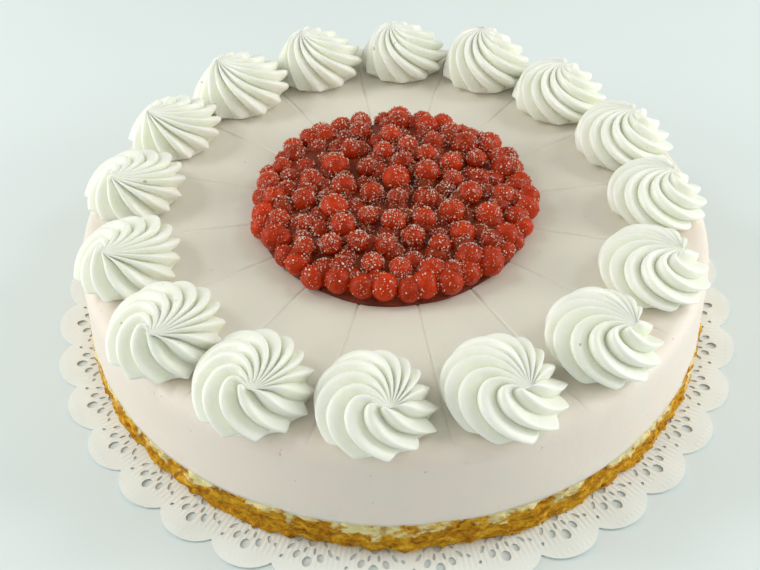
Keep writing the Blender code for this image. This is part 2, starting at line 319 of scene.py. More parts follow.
bmesh.ops.remove_doubles(doily, verts=doily.verts, dist=LOBE_JOIN)
inside_lace = LACE_INNER_RADIUS + 10.0 * LOBE_JOIN
middle = [edge for edge in doily.edges if edge.is_boundary
          and max(vertex.co.to_2d().length for vertex in edge.verts) < inside_lace]
bmesh.ops.holes_fill(doily, edges=middle, sides=0)
bmesh.ops.recalc_face_normals(doily, faces=doily.faces)
bmesh.ops.solidify(doily, geom=doily.faces[:], thickness=PAPER_THICKNESS)
lowest = min(vertex.co.z for vertex in doily.verts)
for vertex in doily.verts:
    reach = vertex.co.to_2d().length
    lobe_phase = math.cos(LOBES * (math.atan2(vertex.co.y, vertex.co.x) - LOBE_ANGLE))
    out = max(0.0, reach - LOBE_LIFT_FROM) / (DOILY_TIP_RADIUS - LOBE_LIFT_FROM)
    around = Vector((vertex.co.x, vertex.co.y, 0.0))
    sway = 0.75 + 0.5 * noise.noise(around * LIFT_SWAYS_PER_METRE)
    lift = LOBE_LIFT * out ** LOBE_LIFT_CURVE * sway * (0.7 + 0.3 * lobe_phase)
    vertex.co.z += PAPER_BOTTOM - lowest + lift
bmesh.ops.recalc_face_normals(doily, faces=doily.faces)
doily_piece = link_piece("paper_doily", doily, doily_paper(), smooth=False)
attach(doily_piece, "root")
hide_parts("lace_doily")


# ------------------------------------------------------------------ the crust
# A baked crumb layer, pressed into the tin before the cream is filled in. Its side is torn
# and smeared where the ring came off, golden brown, with paler crumb dragged up to the cream.

CRUST_RADIUS = 0.1318
CRUST_BOTTOM = 0.0007
CRUST_TOP = 0.0182
CRUST_COLUMNS = 1100
CRUST_ROWS = 22
CRUMB_FLATNESS = 1.6

# Relief of the torn side: how wide each kind of lump is, and how far it stands out
LUMP_WIDTH, LUMP_DEPTH = 0.014, 0.0012
SMEAR_WIDTH, SMEAR_DEPTH = 0.0052, 0.0013
CRUMB_WIDTH, CRUMB_DEPTH = 0.0022, 0.0016
FOOT_LUMP_WIDTH, FOOT_LUMP_DEPTH = 0.017, 0.0016
FOOT_CRUMB_WIDTH, FOOT_CRUMB_DEPTH = 0.006, 0.0009

# The side draws in a little over this share of its height at the foot and at the top
FOOT_DRAW_IN, FOOT_DRAW_SHARE = 0.0010, 0.12
TOP_DRAW_IN, TOP_DRAW_SHARE = 0.0012, 0.1

# Colours from the brown smears to the light gold, and of the pale crumb dragged up the side
CRUMB_TONES = ((0.32, (0.20, 0.065, 0.003)), (0.45, (0.48, 0.205, 0.007)),
               (0.57, (0.70, 0.365, 0.014)), (0.72, (0.84, 0.570, 0.085)))
PALE_CRUMB = (0.86, 0.76, 0.38)


def baked_crumb():
    """Golden crumb with brown smears lying along the side and pale butter-yellow patches."""
    material, tree, shader, place = shader_of("baked_crumb")
    squeeze = tree.nodes.new("ShaderNodeMapping")
    squeeze.inputs["Scale"].default_value = (1.0, 1.0, CRUMB_FLATNESS)
    tree.links.new(place, squeeze.inputs["Vector"])
    smear = squeeze.outputs["Vector"]
    gold = add_ramp(tree, add_noise(tree, smear, 210.0, 5.0, 0.65, 0.6), CRUMB_TONES)
    above_foot = add_math(tree, "SUBTRACT", split_axes(tree, place)[2], CRUST_BOTTOM)
    height = add_math(tree, "DIVIDE", above_foot, CRUST_TOP - CRUST_BOTTOM)
    patch = add_noise(tree, smear, 75.0, 4.0, 0.6, 0.4)
    pale = add_math(tree, "ADD", add_math(tree, "MULTIPLY", height, 0.35), patch)
    pale_mask = add_mask(tree, pale, ((0.76, 0.0), (0.84, 1.0)))
    colour = add_mix(tree, pale_mask, gold, PALE_CRUMB)
    tree.links.new(colour, shader.inputs["Base Color"])
    shader.inputs["Roughness"].default_value = 0.7
    shader.inputs["Specular IOR Level"].default_value = 0.12
    grain = add_noise(tree, smear, 900.0, 4.0, 0.7)
    add_bump(tree, shader, grain, 0.0006, 0.7)
    return material


def crust_relief(spot):
    """How far the torn crumb stands out at a spot on the side, in metres."""
    flat = Vector((spot.x, spot.y, CRUMB_FLATNESS * spot.z))
    lumps = noise.noise(flat / LUMP_WIDTH) * LUMP_DEPTH
    smears = noise.noise(flat / SMEAR_WIDTH + Vector((7.0, 3.0, 1.0))) * SMEAR_DEPTH
    crumbs = abs(noise.noise(flat / CRUMB_WIDTH + Vector((1.0, 9.0, 4.0)))) * CRUMB_DEPTH
    return lumps + smears + crumbs


def foot_relief(around):
    """How far the foot of the side strays in and out, in metres."""
    lumps = noise.noise(around / FOOT_LUMP_WIDTH + Vector((0.0, 5.0, 2.0))) * FOOT_LUMP_DEPTH
    crumbs = noise.noise(around / FOOT_CRUMB_WIDTH + Vector((3.0, 1.0, 8.0))) * FOOT_CRUMB_DEPTH
    return lumps + crumbs


def spin_line(points, steps):
    """A shell made of a line through points, spun once round the upright axis."""
    shell = bmesh.new()
    line = [shell.verts.new(point) for point in points]
    edges = [shell.edges.new(pair) for pair in zip(line, line[1:])]
    bmesh.ops.spin(shell, geom=line + edges, cent=(0, 0, 0), axis=(0, 0, 1),
                   angle=2.0 * math.pi, steps=steps, use_merge=True)
    return shell


def close_shell(shell):
    """Fill the open ends of a spun shell and turn its faces outwards."""
    open_edges = [edge for edge in shell.edges if edge.is_boundary]
    bmesh.ops.holes_fill(shell, edges=open_edges, sides=0)
    bmesh.ops.recalc_face_normals(shell, faces=shell.faces)


wall_rows = [CRUST_TOP + (CRUST_BOTTOM - CRUST_TOP) * row / (CRUST_ROWS - 1)
             for row in range(CRUST_ROWS)]
crust = spin_line([(CRUST_RADIUS, 0.0, height) for height in wall_rows], CRUST_COLUMNS)
for vertex in crust.verts:
    spot = vertex.co.copy()
    height = (spot.z - CRUST_BOTTOM) / (CRUST_TOP - CRUST_BOTTOM)
    foot = foot_relief(Vector((spot.x, spot.y, 0.0)))
    out = crust_relief(spot) + foot * max(0.0, 1.0 - height) ** 0.8
    out -= FOOT_DRAW_IN * max(0.0, FOOT_DRAW_SHARE - height) / FOOT_DRAW_SHARE
    out -= TOP_DRAW_IN * max(0.0, height - (1.0 - TOP_DRAW_SHARE)) / TOP_DRAW_SHARE
    vertex.co.x *= 1.0 + out / CRUST_RADIUS
    vertex.co.y *= 1.0 + out / CRUST_RADIUS
close_shell(crust)
crust_piece = link_piece("torn_crust", crust, baked_crumb())
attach(crust_piece, "root")
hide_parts("sponge_base")


# ------------------------------------------------------------ the cream layer
# One thick layer of set cream, faintly pink, with a rounded upper edge and a side wiped
# smooth. A knife pressed 16 score lines into the top, from the currants out to the rim.

CREAM_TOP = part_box("cream_body")[1].z
TOP_RADIUS = 0.130
FOOT_RADIUS = 0.1320
CREAM_LIP = 0.0172
EDGE_RADIUS = 0.0070
PORTIONS = 16
FIRST_SCORE = math.radians(121.4)
SCORE_WIDTH = 0.0009
SCORE_DEPTH = 0.00065
SCORE_START = 0.0540
SCORE_END = 0.1265
SCORE_FADE_OUT = 0.012
SCORE_FADE_IN = 0.004
SCORE_STRAY, SCORE_STRAY_LENGTH = 0.00035, 0.02
SCORE_PRESSURE_LENGTH = 0.013
COLUMNS_PER_PORTION = 30
POLE_JOIN = 0.00001

# Where the mesh columns lie across a score line, in millimetres from its middle
MILLIMETRE = 0.001
SCORE_COLUMNS = (-1.9, -1.1, -0.6, -0.28, 0.0, 0.28, 0.6, 1.1, 1.9)

# Unevenness of the top and the side: how far it stands out, how wide and how high it is
TOP_WAVES, TOP_WAVE_WIDTH = 0.00028, 0.030
TOP_RIPPLES, TOP_RIPPLE_WIDTH = 0.00014, 0.009
SIDE_STREAKS, SIDE_STREAK_WIDTH, SIDE_STREAK_HEIGHT = 0.00022, 0.05, 0.0045
SIDE_SWELLS, SIDE_SWELL_WIDTH, SIDE_SWELL_HEIGHT = 0.00035, 0.035, 0.02

# The ragged lip over the crust: its width, its long tears and short crumbs, and its tuck under
LIP_WIDTH = 0.010
LIP_TEARS, LIP_TEAR_WIDTH = 0.0011, 0.012
LIP_CRUMBS, LIP_CRUMB_WIDTH = 0.0007, 0.0035
LIP_TUCK_IN, LIP_TUCK_UP = 0.0035, 0.0012

# Colours: the grey to pink mottle, the lighter rim tone that is painted light on the rim and side,
# the blushes near it and the dark specks. The distance from the torte's axis times RIM_SCALE is
# 0.9 at the rim.
RIM_SCALE = 7.0
CREAM_TONES = (0.735, 0.695, 0.595), (0.795, 0.755, 0.66)
LIT_RIM_TONE = (0.85, 0.795, 0.715)
BLUSH_TONE = (0.90, 0.735, 0.655)
CREAM_SPECK = (0.52, 0.41, 0.32)


def speck_group():
    """Sparse dark specks, as of vanilla or spice, on a base colour."""
    group, given, wanted = shader_group(
        "dark_specks",
        (("Vector", "NodeSocketVector"), ("Scale", "NodeSocketFloat"),
         ("Rareness", "NodeSocketFloat"), ("Base", "NodeSocketColor"),
         ("Speck", "NodeSocketColor")),
        (("Colour", "NodeSocketColor"),))
    texture = group.nodes.new("ShaderNodeTexNoise")
    texture.inputs["Detail"].default_value = 1.5
    texture.inputs["Roughness"].default_value = 0.45
    group.links.new(given["Vector"], texture.inputs["Vector"])
    group.links.new(given["Scale"], texture.inputs["Scale"])
    above = add_math(group, "SUBTRACT", texture.outputs["Fac"], given["Rareness"])
    mask = add_mask(group, add_math(group, "SUBTRACT", above, 0.5), ((0.06, 0.0), (0.09, 0.6)))
    group.links.new(add_mix(group, mask, given["Base"], given["Speck"]), wanted["Colour"])
    return group


dark_specks = speck_group()


def add_specks(tree, place, base, scale, rareness, speck):
    """The sparse dark specks over a base colour."""
    return use_group(tree, dark_specks, Vector=place, Scale=scale, Rareness=rareness, Base=base,
                     Speck=speck)["Colour"]


def set_cream():
    """Faintly pink cream: lighter round the rim and down the side as painted light, greyer towards
    the middle, warm patches round the rim, dark specks.
    """
    material, tree, shader, place = shader_of("set_cream")
    base = add_mottle(tree, place, 22.0, *CREAM_TONES)
    x, y, _ = split_axes(tree, place)
    rim_share = add_math(tree, "MULTIPLY", add_reach(tree, x, y), RIM_SCALE)
    # Painted light: the cream turns lighter towards the rim and down the side, where they catch the
    # light.
    rim_light_mask = add_mask(tree, rim_share, ((0.50, 0.0), (0.72, 0.35), (0.90, 0.8)))
    tint = add_mix(tree, rim_light_mask, base, LIT_RIM_TONE)
    blush = add_math(tree, "MULTIPLY", rim_share,
                     add_math(tree, "ADD", add_noise(tree, place, 38.0, 2.0, 0.5), 0.5))
    blush_mask = add_mask(tree, blush, ((0.72, 0.0), (0.92, 0.38)))
    blushed = add_mix(tree, blush_mask, tint, BLUSH_TONE)
    colour = add_specks(tree, place, blushed, 420.0, 0.195, CREAM_SPECK)
    tree.links.new(colour, shader.inputs["Base Color"])
    shader.inputs["Roughness"].default_value = 0.42
    shader.inputs["Subsurface Weight"].default_value = 0.25
    shader.inputs["Subsurface Radius"].default_value = (0.006, 0.004, 0.003)
    shader.inputs["Subsurface Scale"].default_value = 1.0
    add_bump(tree, shader, add_noise(tree, place, 130.0, 5.0, 0.55, 0.3), 0.0007, 0.35)
    return material


def cream_section():
    """Outline of the layer from the middle of the top to the lip of its foot."""
    under_heap = (0.0, 0.020, 0.040)
    section = [(reach, CREAM_TOP) for reach in under_heap]
    first_ring = 0.050
    rings = 34
    for ring in range(rings + 1):
        reach = first_ring + (TOP_RADIUS - EDGE_RADIUS - first_ring) * ring / rings
        section.append((reach, CREAM_TOP))
    bends = 9
    for bend in range(1, bends + 1):
        angle = 0.5 * math.pi * (1.0 - bend / bends)
        section.append((TOP_RADIUS - EDGE_RADIUS + EDGE_RADIUS * math.cos(angle),
                        CREAM_TOP - EDGE_RADIUS + EDGE_RADIUS * math.sin(angle)))
    drops = 20
    for drop in range(1, drops + 1):
        share = drop / drops
        section.append((TOP_RADIUS + (FOOT_RADIUS - TOP_RADIUS) * share,
                        CREAM_TOP - EDGE_RADIUS + (CREAM_LIP - CREAM_TOP + EDGE_RADIUS) * share))
    return section


def score_profile(across, reach, line):
    """Depth of a score line beside its middle, with the little burr the knife pushed up."""
    fade_out = min(1.0, max(0.0, (SCORE_END - reach) / SCORE_FADE_OUT))
    fade_in = min(1.0, max(0.0, (reach - SCORE_START) / SCORE_FADE_IN))
    along = Vector((reach / SCORE_PRESSURE_LENGTH, 3.7 * line, 0.0))
    pressure = 0.75 + 0.6 * noise.noise(along)
    strength = fade_out * fade_in * pressure
    groove = math.exp(-(2.0 * across / SCORE_WIDTH) ** 2)
    burr = math.exp(-((abs(across) - 0.9 * SCORE_WIDTH) / (0.45 * SCORE_WIDTH)) ** 2)
    return strength * (0.12 * burr - groove) * SCORE_DEPTH


cream = spin_line([(reach, 0.0, height) for reach, height in cream_section()],
                  PORTIONS * COLUMNS_PER_PORTION)
bmesh.ops.remove_doubles(cream, verts=cream.verts, dist=POLE_JOIN)
portion = 2.0 * math.pi / PORTIONS
last_score_column = len(SCORE_COLUMNS) // 2
score_edge = SCORE_COLUMNS[-1] * MILLIMETRE
for vertex in cream.verts:
    reach = vertex.co.to_2d().length
    if reach < MILLIMETRE:
        continue
    turn = (math.atan2(vertex.co.y, vertex.co.x) / portion) % PORTIONS
    line = round(turn)
    column = round((turn - line) * COLUMNS_PER_PORTION)
    stray = 0.0
    if abs(column) <= last_score_column:
        across = SCORE_COLUMNS[column + last_score_column] * MILLIMETRE
        stray = SCORE_STRAY * noise.noise(Vector((reach / SCORE_STRAY_LENGTH, 2.0 * line, 5.0)))
    else:
        half = 0.5 * portion * reach
        share = (abs(column) - last_score_column) / (COLUMNS_PER_PORTION / 2 - last_score_column)
        across = math.copysign(score_edge + (half - score_edge) * share, column)
    angle = FIRST_SCORE + line * portion + across / reach
    angle += stray / reach
    height = vertex.co.z
    on_top = max(0.0, 1.0 - (CREAM_TOP - height) / EDGE_RADIUS)
    spot = Vector((reach * math.cos(angle), reach * math.sin(angle), height))
    waves = (TOP_WAVES * noise.noise(spot / TOP_WAVE_WIDTH)
             + TOP_RIPPLES * noise.noise(spot / TOP_RIPPLE_WIDTH + Vector((4.0, 0.0, 0.0))))
    height += on_top * (waves + score_profile(across, reach, line))
    streak = noise.noise(Vector((spot.x / SIDE_STREAK_WIDTH, spot.y / SIDE_STREAK_WIDTH,
                                 height / SIDE_STREAK_HEIGHT)))
    swell = noise.noise(Vector((spot.x / SIDE_SWELL_WIDTH, spot.y / SIDE_SWELL_WIDTH,
                                height / SIDE_SWELL_HEIGHT)))
    out = (1.0 - on_top) * (SIDE_STREAKS * streak + SIDE_SWELLS * swell)
    lip = max(0.0, 1.0 - (height - CREAM_LIP) / LIP_WIDTH)
    ragged = noise.noise(spot / LIP_TEAR_WIDTH + Vector((0.0, 2.0, 6.0))) * LIP_TEARS
    ragged += noise.noise(spot / LIP_CRUMB_WIDTH + Vector((5.0, 2.0, 6.0))) * LIP_CRUMBS
    height += lip ** 3 * ragged
    out += lip ** 2 * 0.4 * ragged
    vertex.co = ((reach + out) * math.cos(angle), (reach + out) * math.sin(angle), height)
lip_edges = [edge for edge in cream.edges if edge.is_boundary]
under = bmesh.ops.extrude_edge_only(cream, edges=lip_edges)["geom"]
under_verts = [part for part in under if isinstance(part, bmesh.types.BMVert)]
for vertex in under_verts:
    reach = vertex.co.to_2d().length
    vertex.co.x *= (reach - LIP_TUCK_IN) / reach
    vertex.co.y *= (reach - LIP_TUCK_IN) / reach
    vertex.co.z = CREAM_LIP + LIP_TUCK_UP
close_shell(cream)
cream_piece = link_piece("scored_cream", cream, set_cream())
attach(cream_piece, "root")
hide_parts("cream_body")


# --------------------------------------------------------------- the rosettes
# Sixteen swirls of whipped cream, one in each portion, piped by hand from a star nozzle that
# swings round and is pulled off outwards. So the ridges hook round one side, fan out in short
# points on the other and gather in an off-centre peak, and no two swirls are quite alike.

RING_RADIUS = 0.1100
RING_SHIFT_LEFT = 0.0012
RING_CROWDING = math.radians(1.4)
SWIRL_SINK = 0.0002
COLUMNS_PER_RIDGE = 16
SWIRL_LEVELS = 54
FOOT_LEVELS = 6
LAST_LEVEL = 0.99

# The dome under the ridges: height of its widest level, roundness, how far the foot tucks in,
# the swing of its middle outwards and sideways, and how late the lean of the peak sets in
WIDEST_HEIGHT = 0.0035
DOME_ROUNDNESS = 0.83
FOOT_TUCK = 0.14
SWING_OUT = (-0.0044, 0.0008)
SWING_SIDE = (-0.0019, -0.0010)
PEAK_OUT_GROWTH = 3.0
PEAK_SIDE_GROWTH = 1.8

# The ridges: their depth, the radius where they start to fade into the peak, the share of each
# that is its steep side, and how they turn round the dome
RIDGES = 12
RIDGE_DEPTH = 0.0052
RIDGE_FADES_AT = 0.0088
RIDGE_RISE = 0.85
STEEP_SHARE = 0.47
FOOT_TWIST = math.radians(-50.0)
PEAK_TWIST = math.radians(-70.0)
PEAK_TWIST_GROWTH = 3.2

# The fan: its direction, how straight and how close its ridges lie, how pointed their feet are
# beside it and in it, and how soon the points are lost upwards
FAN_ANGLE = math.radians(100.0)
FAN_STRAIGHTNESS = 0.7
FAN_CROWDING = 0.10
FOOT_POINT, FAN_POINT = 0.05, 0.55
POINT_LOSS = 2.2

WHIPPED_TONES = (0.885, 0.91, 0.79), (0.935, 0.95, 0.85)
WHIPPED_SPECK = (0.35, 0.26, 0.16)

# Each swirl in millimetres: mean radius, height, how far it was set down outwards and
# sideways of its place, how far its peak leans outwards and sideways, and last the turn of
# its ridges in degrees
SWIRLS = (
    (18.7, 20.2, -1.2, 0.5, 7.5, 3.6, 40),
    (18.4, 19.3, -0.9, -0.2, 6.8, 4.6, 205),
    (18.7, 20.3, -0.5, 0.1, 8.9, 5.0, 118),
    (19.0, 18.5, -1.8, 0.2, 5.4, 4.0, 330),
    (19.1, 17.8, 0.1, -0.8, 4.7, 3.6, 12),
    (18.1, 16.6, 0.7, 1.2, 5.4, 4.4, 251),
    (18.9, 16.8, 1.0, 0.2, 7.5, 2.0, 163),
    (18.6, 18.1, 1.9, -0.6, 8.6, 3.2, 300),
    (19.6, 16.4, 1.6, -0.5, 9.0, 2.8, 7),
    (18.9, 15.4, 1.1, -1.4, 7.9, 4.4, 52),
    (19.5, 16.2, 2.2, -0.4, 8.7, 4.4, 221),
    (19.7, 17.1, 2.2, 1.6, 8.7, 6.4, 90),
    (18.8, 15.6, 0.1, 0.6, 8.2, 3.2, 281),
    (18.5, 17.3, -0.9, -1.2, 5.1, 6.8, 137),
    (17.9, 17.8, -0.5, -0.6, 7.5, 5.2, 345),
    (19.8, 19.3, -1.4, -0.5, 8.9, 3.6, 76),
)


def whipped_cream():
    """White whipped cream: satin, slightly translucent, with fine pores and a rare dark speck."""
    material, tree, shader, place = shader_of("whipped_cream")
    tone = add_mottle(tree, place, 90.0, *WHIPPED_TONES)
    colour = add_specks(tree, place, tone, 300.0, 0.20, WHIPPED_SPECK)
    tree.links.new(colour, shader.inputs["Base Color"])
    shader.inputs["Roughness"].default_value = 0.30
    shader.inputs["Subsurface Weight"].default_value = 0.60
    shader.inputs["Subsurface Radius"].default_value = (0.0040, 0.0042, 0.0028)
    shader.inputs["Subsurface Scale"].default_value = 1.0
    pores = add_noise(tree, place, 1500.0, 3.0, 0.6)
    drag = add_noise(tree, place, 260.0, 3.0, 0.5, 0.4)
    skin = add_math(tree, "ADD", add_math(tree, "MULTIPLY", pores, 0.25), drag)
    add_bump(tree, shader, skin, 0.0005, 0.4)
    return material


def ridge_section(turns, pointed):
    """Section across a leaning ridge, from -1 in the groove to 1 on the crest, round or pointed."""
    share = turns % 1.0
    if share < STEEP_SHARE:
        share *= 0.5 / STEEP_SHARE
    else:
        share = 0.5 + 0.5 * (share - STEEP_SHARE) / (1.0 - STEEP_SHARE)
    rounded = 2.0 * abs(math.sin(math.pi * share)) ** 0.72 - 1.0
    peaked = 1.0 - 2.0 * abs(math.cos(math.pi * share)) ** 1.1
    return rounded + (peaked - rounded) * pointed


def swirl_vertex(spot, swirl_row, seed):
    """Move a point of the spun blank, (column angle, level), to its place on a swirl."""
    radius, height, outwards, sideways, peak_out, peak_side = (
        size * MILLIMETRE for size in swirl_row[:6])
    column = math.atan2(spot.y, spot.x)
    level = max(0.0, spot.z)
    below = max(0.0, -spot.z)
    quarter = 0.5 * math.pi * level
    rise = WIDEST_HEIGHT * (1.0 - below) + (height - WIDEST_HEIGHT) * math.sin(quarter)
    reach = radius * math.cos(quarter) ** DOME_ROUNDNESS * (1.0 - FOOT_TUCK * below ** 1.6)
    fan = 0.5 + 0.5 * math.cos(column - FAN_ANGLE)
    around = Vector((1.8 * math.cos(column), 1.8 * math.sin(column), 1.2 * level + seed))
    uneven = 0.92 + 0.35 * noise.noise(around)
    strength = 0.5 * RIDGE_DEPTH * uneven * (1.0 - below) ** 1.5
    fade = min(1.0, reach / RIDGE_FADES_AT)
    ridge_angle = (column - math.radians(swirl_row[6])
                   + FAN_CROWDING * math.sin(column - FAN_ANGLE))
    turns = RIDGES * ridge_angle / (2.0 * math.pi)
    pointed = max(0.0, 1.0 - POINT_LOSS * level) * (FOOT_POINT + FAN_POINT * fan)
    ridge = strength * fade * fade * (3.0 - 2.0 * fade) * ridge_section(turns, pointed)
    reach += ridge * math.cos(quarter) ** 0.6
    turn = column + FOOT_TWIST * (1.0 - (1.0 - level) ** 2)
    straight = 0.5 * FAN_STRAIGHTNESS * (1.0 + math.cos(turn - FAN_ANGLE))
    turn += PEAK_TWIST * level ** PEAK_TWIST_GROWTH * (1.0 - straight)
    once, twice = math.sin(math.pi * level), math.sin(2.0 * math.pi * level)
    x = outwards + peak_out * level ** PEAK_OUT_GROWTH + SWING_OUT[0] * once + SWING_OUT[1] * twice
    y = (sideways + peak_side * level ** PEAK_SIDE_GROWTH
         + SWING_SIDE[0] * once + SWING_SIDE[1] * twice)
    return Vector((x + reach * math.cos(turn), y + reach * math.sin(turn),
                   rise + RIDGE_RISE * ridge * math.sin(quarter)))


swirl_cream = whipped_cream()
swirl_levels = [step / FOOT_LEVELS - 1.0 for step in range(FOOT_LEVELS)]
swirl_levels += [LAST_LEVEL * step / SWIRL_LEVELS for step in range(SWIRL_LEVELS + 1)]
for index, swirl_row in enumerate(SWIRLS):
    between = FIRST_SCORE - (index + 0.5) * portion
    angle = between + RING_CROWDING * math.cos(between)
    swirl = spin_line([(1.0, 0.0, level) for level in swirl_levels], RIDGES * COLUMNS_PER_RIDGE)
    for vertex in swirl.verts:
        vertex.co = swirl_vertex(vertex.co, swirl_row, 3.0 * index)
    close_shell(swirl)
    stand = Matrix.Translation((RING_RADIUS - RING_SHIFT_LEFT * math.cos(angle), 0.0,
                                CREAM_TOP - SWIRL_SINK))
    bmesh.ops.transform(swirl, matrix=Matrix.Rotation(angle, 4, "Z") @ stand, verts=swirl.verts)
    piece = link_piece(f"swirl_{index + 1:02d}", swirl, swirl_cream)
    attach(piece, "root")
    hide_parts(f"rosette_{index + 1:02d}")


# ------------------------------------------------------------- the jelly bed
# Clear red jelly, poured over the currants when they are laid out, holds them together. It
# shows dark brown-red in the gaps and as a thin shiny foot that creeps out at the front.

heap_low, heap_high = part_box("currant_heap")
HEAP_RADIUS = 0.0600
HEAP_HEIGHT = heap_high.z - heap_low.z
JELLY_HEIGHT = 0.0080
JELLY_COLUMNS = 220

# Section of the bed: share of the heap's radius, and height over the cream
JELLY_SECTION = ((0.0, JELLY_HEIGHT), (0.5, JELLY_HEIGHT), (0.76, JELLY_HEIGHT),
                 (0.83, 0.85 * JELLY_HEIGHT), (0.875, 0.5 * JELLY_HEIGHT),
                 (0.905, 0.0012), (0.93, 0.0006), (0.945, -0.0002))

# How far the foot creeps out at the front and strays elsewhere, as shares of its radius
CREEP_ANGLE = math.radians(-90.0)
CREEP_SPREAD = 0.45
FRONT_CREEP = 0.028
STRAY_CREEP = 0.016
JELLY_RIPPLES = 0.0012

JELLY_TONES = (0.12, 0.016, 0.003), (0.27, 0.034, 0.006)


def red_jelly():
    """Deep red jelly, glossy, in a soft mottle of two reds."""
    material, tree, shader, place = shader_of("red_jelly")
    tone = add_mottle(tree, place, 160.0, *JELLY_TONES)
    tree.links.new(tone, shader.inputs["Base Color"])
    shader.inputs["Roughness"].default_value = 0.30
    shader.inputs["Specular IOR Level"].default_value = 0.30
    add_bump(tree, shader, add_noise(tree, place, 700.0, 4.0, 0.7), 0.0010, 0.8)
    return material


jelly = spin_line([(share * HEAP_RADIUS, 0.0, height) for share, height in JELLY_SECTION],
                  JELLY_COLUMNS)
bmesh.ops.remove_doubles(jelly, verts=jelly.verts, dist=POLE_JOIN)
for vertex in jelly.verts:
    if vertex.co.to_2d().length < MILLIMETRE:
        vertex.co.z += CREAM_TOP
        continue
    angle = math.atan2(vertex.co.y, vertex.co.x)
    creep = FRONT_CREEP * math.exp(-((angle - CREEP_ANGLE) / CREEP_SPREAD) ** 2)
    around = Vector((math.cos(angle), math.sin(angle), 0.5))
    creep += STRAY_CREEP * noise.noise(around * 4.0)
    vertex.co.x *= 1.0 + creep
    vertex.co.y *= 1.0 + creep
    ripple = JELLY_RIPPLES * noise.noise(vertex.co / 0.008) * min(1.0, vertex.co.z / 0.003)
    vertex.co.z += CREAM_TOP + ripple
close_shell(jelly)
jelly_piece = link_piece("jelly_bed", jelly, red_jelly())
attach(jelly_piece, "root")
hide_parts("currant_heap")


# --------------------------------------------------------------- the currants
# Red currants, 8 to just under 12 mm across, taken off their stalks and heaped close together
# in the jelly. Their skins are thin, wet and clear enough to glow, with a dent at either end.

CURRANT_RADII = (0.0040, 0.0058)
LOWER_COUNT = 106
LOWER_REACH = 0.0515
UPPER_COUNT = 52
UPPER_REACH = 0.0490
EDGE_COUNT = 38

# Gaps between neighbours, as shares of their radii together, in the close layer and on top
LOWER_SPACING = 0.98
UPPER_SPACING = 1.22
CROWDING_ROUNDS = 110
CROWDING_PUSH = 0.3

# Where the berries lie: how far the outer row strays round and outwards and stands off the
# cream, how deep the close layer is sunk and how much less so at its rim, how far those on top
# stray up and down, and how much of its height the heap loses towards and at its shoulder
EDGE_STRAY_ROUND = 0.18
EDGE_STRAY_OUT = (-0.0016, 0.0012)
EDGE_STAND_OFF = 0.0003
LOWER_SINK = (0.0026, 0.0050)
LOWER_RIM_RISE = 0.0020
UPPER_STRAY = (-0.0014, 0.0010)
HEAP_SLOPE, HEAP_SHOULDER = 0.10, 0.24

# Ripeness, from 0 for dark to 1 for bright, of the outer row, the close layer and its rim, and
# the berries on top. The close layer's range is kept dark as painted shade, as it lies under the
# others, and less so at its rim; within each range the berries differ at random.
EDGE_RIPENESS = (0.55, 1.0)
LOWER_SHADED_RIPENESS, LOWER_RIM_LESS_SHADE = (0.0, 0.4), 0.3
UPPER_RIPENESS = (0.35, 1.0)

# How far a berry is squashed, and the share of its radius by which it is dented at its flower
# end and at its stalk end
BERRY_SQUASH = (0.92, 1.04)
FLOWER_DENT, STALK_DENT = 0.10, 0.07

RIPENESS_AND_SHADE_TONES = ((0.0, (0.10, 0.020, 0.002)), (0.4, (0.31, 0.014, 0.001)),
                  (1.0, (0.66, 0.036, 0.001)))
SKIN_TONES = (0.16, 0.008, 0.001), (0.62, 0.058, 0.003)
GLAZE_TONE = (0.70, 0.19, 0.055)


def currant_skin():
    """Translucent red skin, each berry a little lighter or darker than the next, the close layer
    darker with painted shade.
    """
    material, tree, shader, place = shader_of("currant_skin")
    tint = tree.nodes.new("ShaderNodeAttribute")
    tint.attribute_name = "berry_tint_and_shade"
    tone = add_ramp(tree, tint.outputs["Fac"], RIPENESS_AND_SHADE_TONES)
    cloud = add_mottle(tree, place, 320.0, *SKIN_TONES)
    skin = add_mix(tree, 0.35, tone, cloud)
    sugared = add_noise(tree, place, 1300.0, 3.0, 0.6)
    glaze = add_mask(tree, sugared, ((0.56, 0.0), (0.70, 0.28)))
    tree.links.new(add_mix(tree, glaze, skin, GLAZE_TONE), shader.inputs["Base Color"])
    shader.inputs["Roughness"].default_value = 0.22
    shader.inputs["Specular IOR Level"].default_value = 0.13
    shader.inputs["Subsurface Weight"].default_value = 0.3
    shader.inputs["Subsurface Radius"].default_value = (0.0040, 0.0007, 0.0004)
    shader.inputs["Subsurface Scale"].default_value = 1.0
    shader.inputs["Coat Weight"].default_value = 0.10
    shader.inputs["Coat Roughness"].default_value = 0.08
    add_bump(tree, shader, sugared, 0.0005, 0.6)
    return material


def heap_surface(reach):
    """Height of the heap's rounded top over the cream at a distance from its middle."""
    share = min(1.0, reach / HEAP_RADIUS)
    return HEAP_HEIGHT * (1.0 - HEAP_SLOPE * share ** 2 - HEAP_SHOULDER * share ** 6)


def crowd(rng, count, reach, spacing):
    """Places and radii of berries strewn over a round patch and nudged apart to that spacing."""
    strewn = []
    for _ in range(count):
        angle, out = rng.uniform(0.0, 2.0 * math.pi), reach * math.sqrt(rng.random())
        strewn.append([out * math.cos(angle), out * math.sin(angle), rng.uniform(*CURRANT_RADII)])
    for _ in range(CROWDING_ROUNDS):
        for first, berry in enumerate(strewn):
            for other in strewn[:first]:
                x, y = berry[0] - other[0], berry[1] - other[1]
                gap = math.hypot(x, y) + 0.000001
                push = CROWDING_PUSH * (spacing * (berry[2] + other[2]) - gap) / gap
                if push > 0.0:
                    berry[0] += push * x
                    berry[1] += push * y
                    other[0] -= push * x
                    other[1] -= push * y
            out = math.hypot(berry[0], berry[1])
            if out > reach:
                berry[0] *= reach / out
                berry[1] *= reach / out
    return strewn


